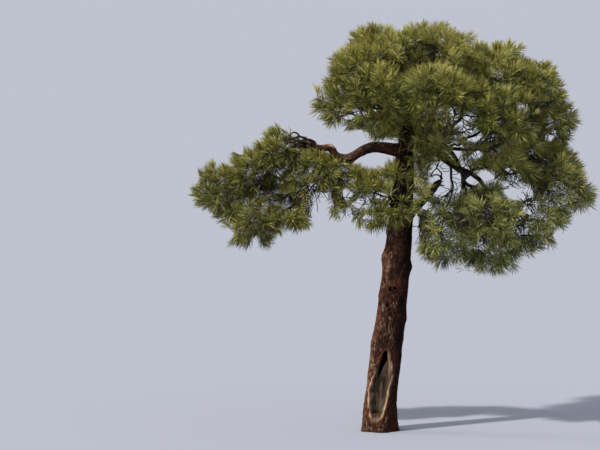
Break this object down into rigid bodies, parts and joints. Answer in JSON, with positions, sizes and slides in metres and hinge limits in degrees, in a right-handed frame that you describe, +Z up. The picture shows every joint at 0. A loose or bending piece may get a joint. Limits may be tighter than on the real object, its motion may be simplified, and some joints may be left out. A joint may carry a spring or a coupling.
{
  "type": "pine tree",
  "caption": "Old stunted pine with a leaning trunk scarred at the foot, a long bough to one side and a broad crown of long needles, rooted in the ground.",
  "frame": {"origin": "middle of the flat cut under the trunk, at ground level", "axes": "+Z up, +X to the right as the tree is seen in the picture, +Y away from the viewer"},
  "size_m": [4.9665, 2.3524, 4.997],
  "materials": {
    "bark": "rough furrowed bark",
    "dead_wood": "weathered bare wood",
    "needles": "sprays of long needles"
  },
  "bodies": {
    "root": {"trunk": "bark", "long_bough_base": "bark", "long_bough_dip": "bark", "long_bough_knuckle": "bark", "long_bough_end": "bark", "right_bough": "bark", "right_bough_drop": "bark", "thin_drop": "bark", "right_upper_bough": "bark", "rear_bough": "bark", "rear_high_bough": "bark", "low_left_bough": "bark", "dead_stub": "dead_wood", "crown_left_shoulder": "needles", "crown_peak_left": "needles", "crown_peak": "needles", "crown_peak_right": "needles", "crown_right_shoulder": "needles", "crown_front_left": "needles", "crown_front": "needles", "crown_front_right": "needles", "crown_right": "needles", "crown_low_left": "needles", "crown_left_fringe": "needles", "crown_left_tip": "needles", "crown_collar": "needles", "crown_rear_left": "needles", "crown_rear": "needles", "crown_rear_right": "needles", "crown_rear_collar": "needles", "right_middle": "needles", "crown_low_right": "needles", "right_end": "needles", "right_tip": "needles", "right_rear": "needles", "low_right_inner": "needles", "low_right_middle": "needles", "low_right_outer": "needles", "low_right_drop": "needles", "low_right_rear": "needles", "low_right_front": "needles", "trunk_spray": "needles", "low_left_spray": "needles", "arm_link": "needles", "arm_inner": "needles", "arm_top": "needles", "arm_middle": "needles", "arm_tip": "needles", "arm_low": "needles", "arm_low_inner": "needles"}
  },
  "joints": []
}
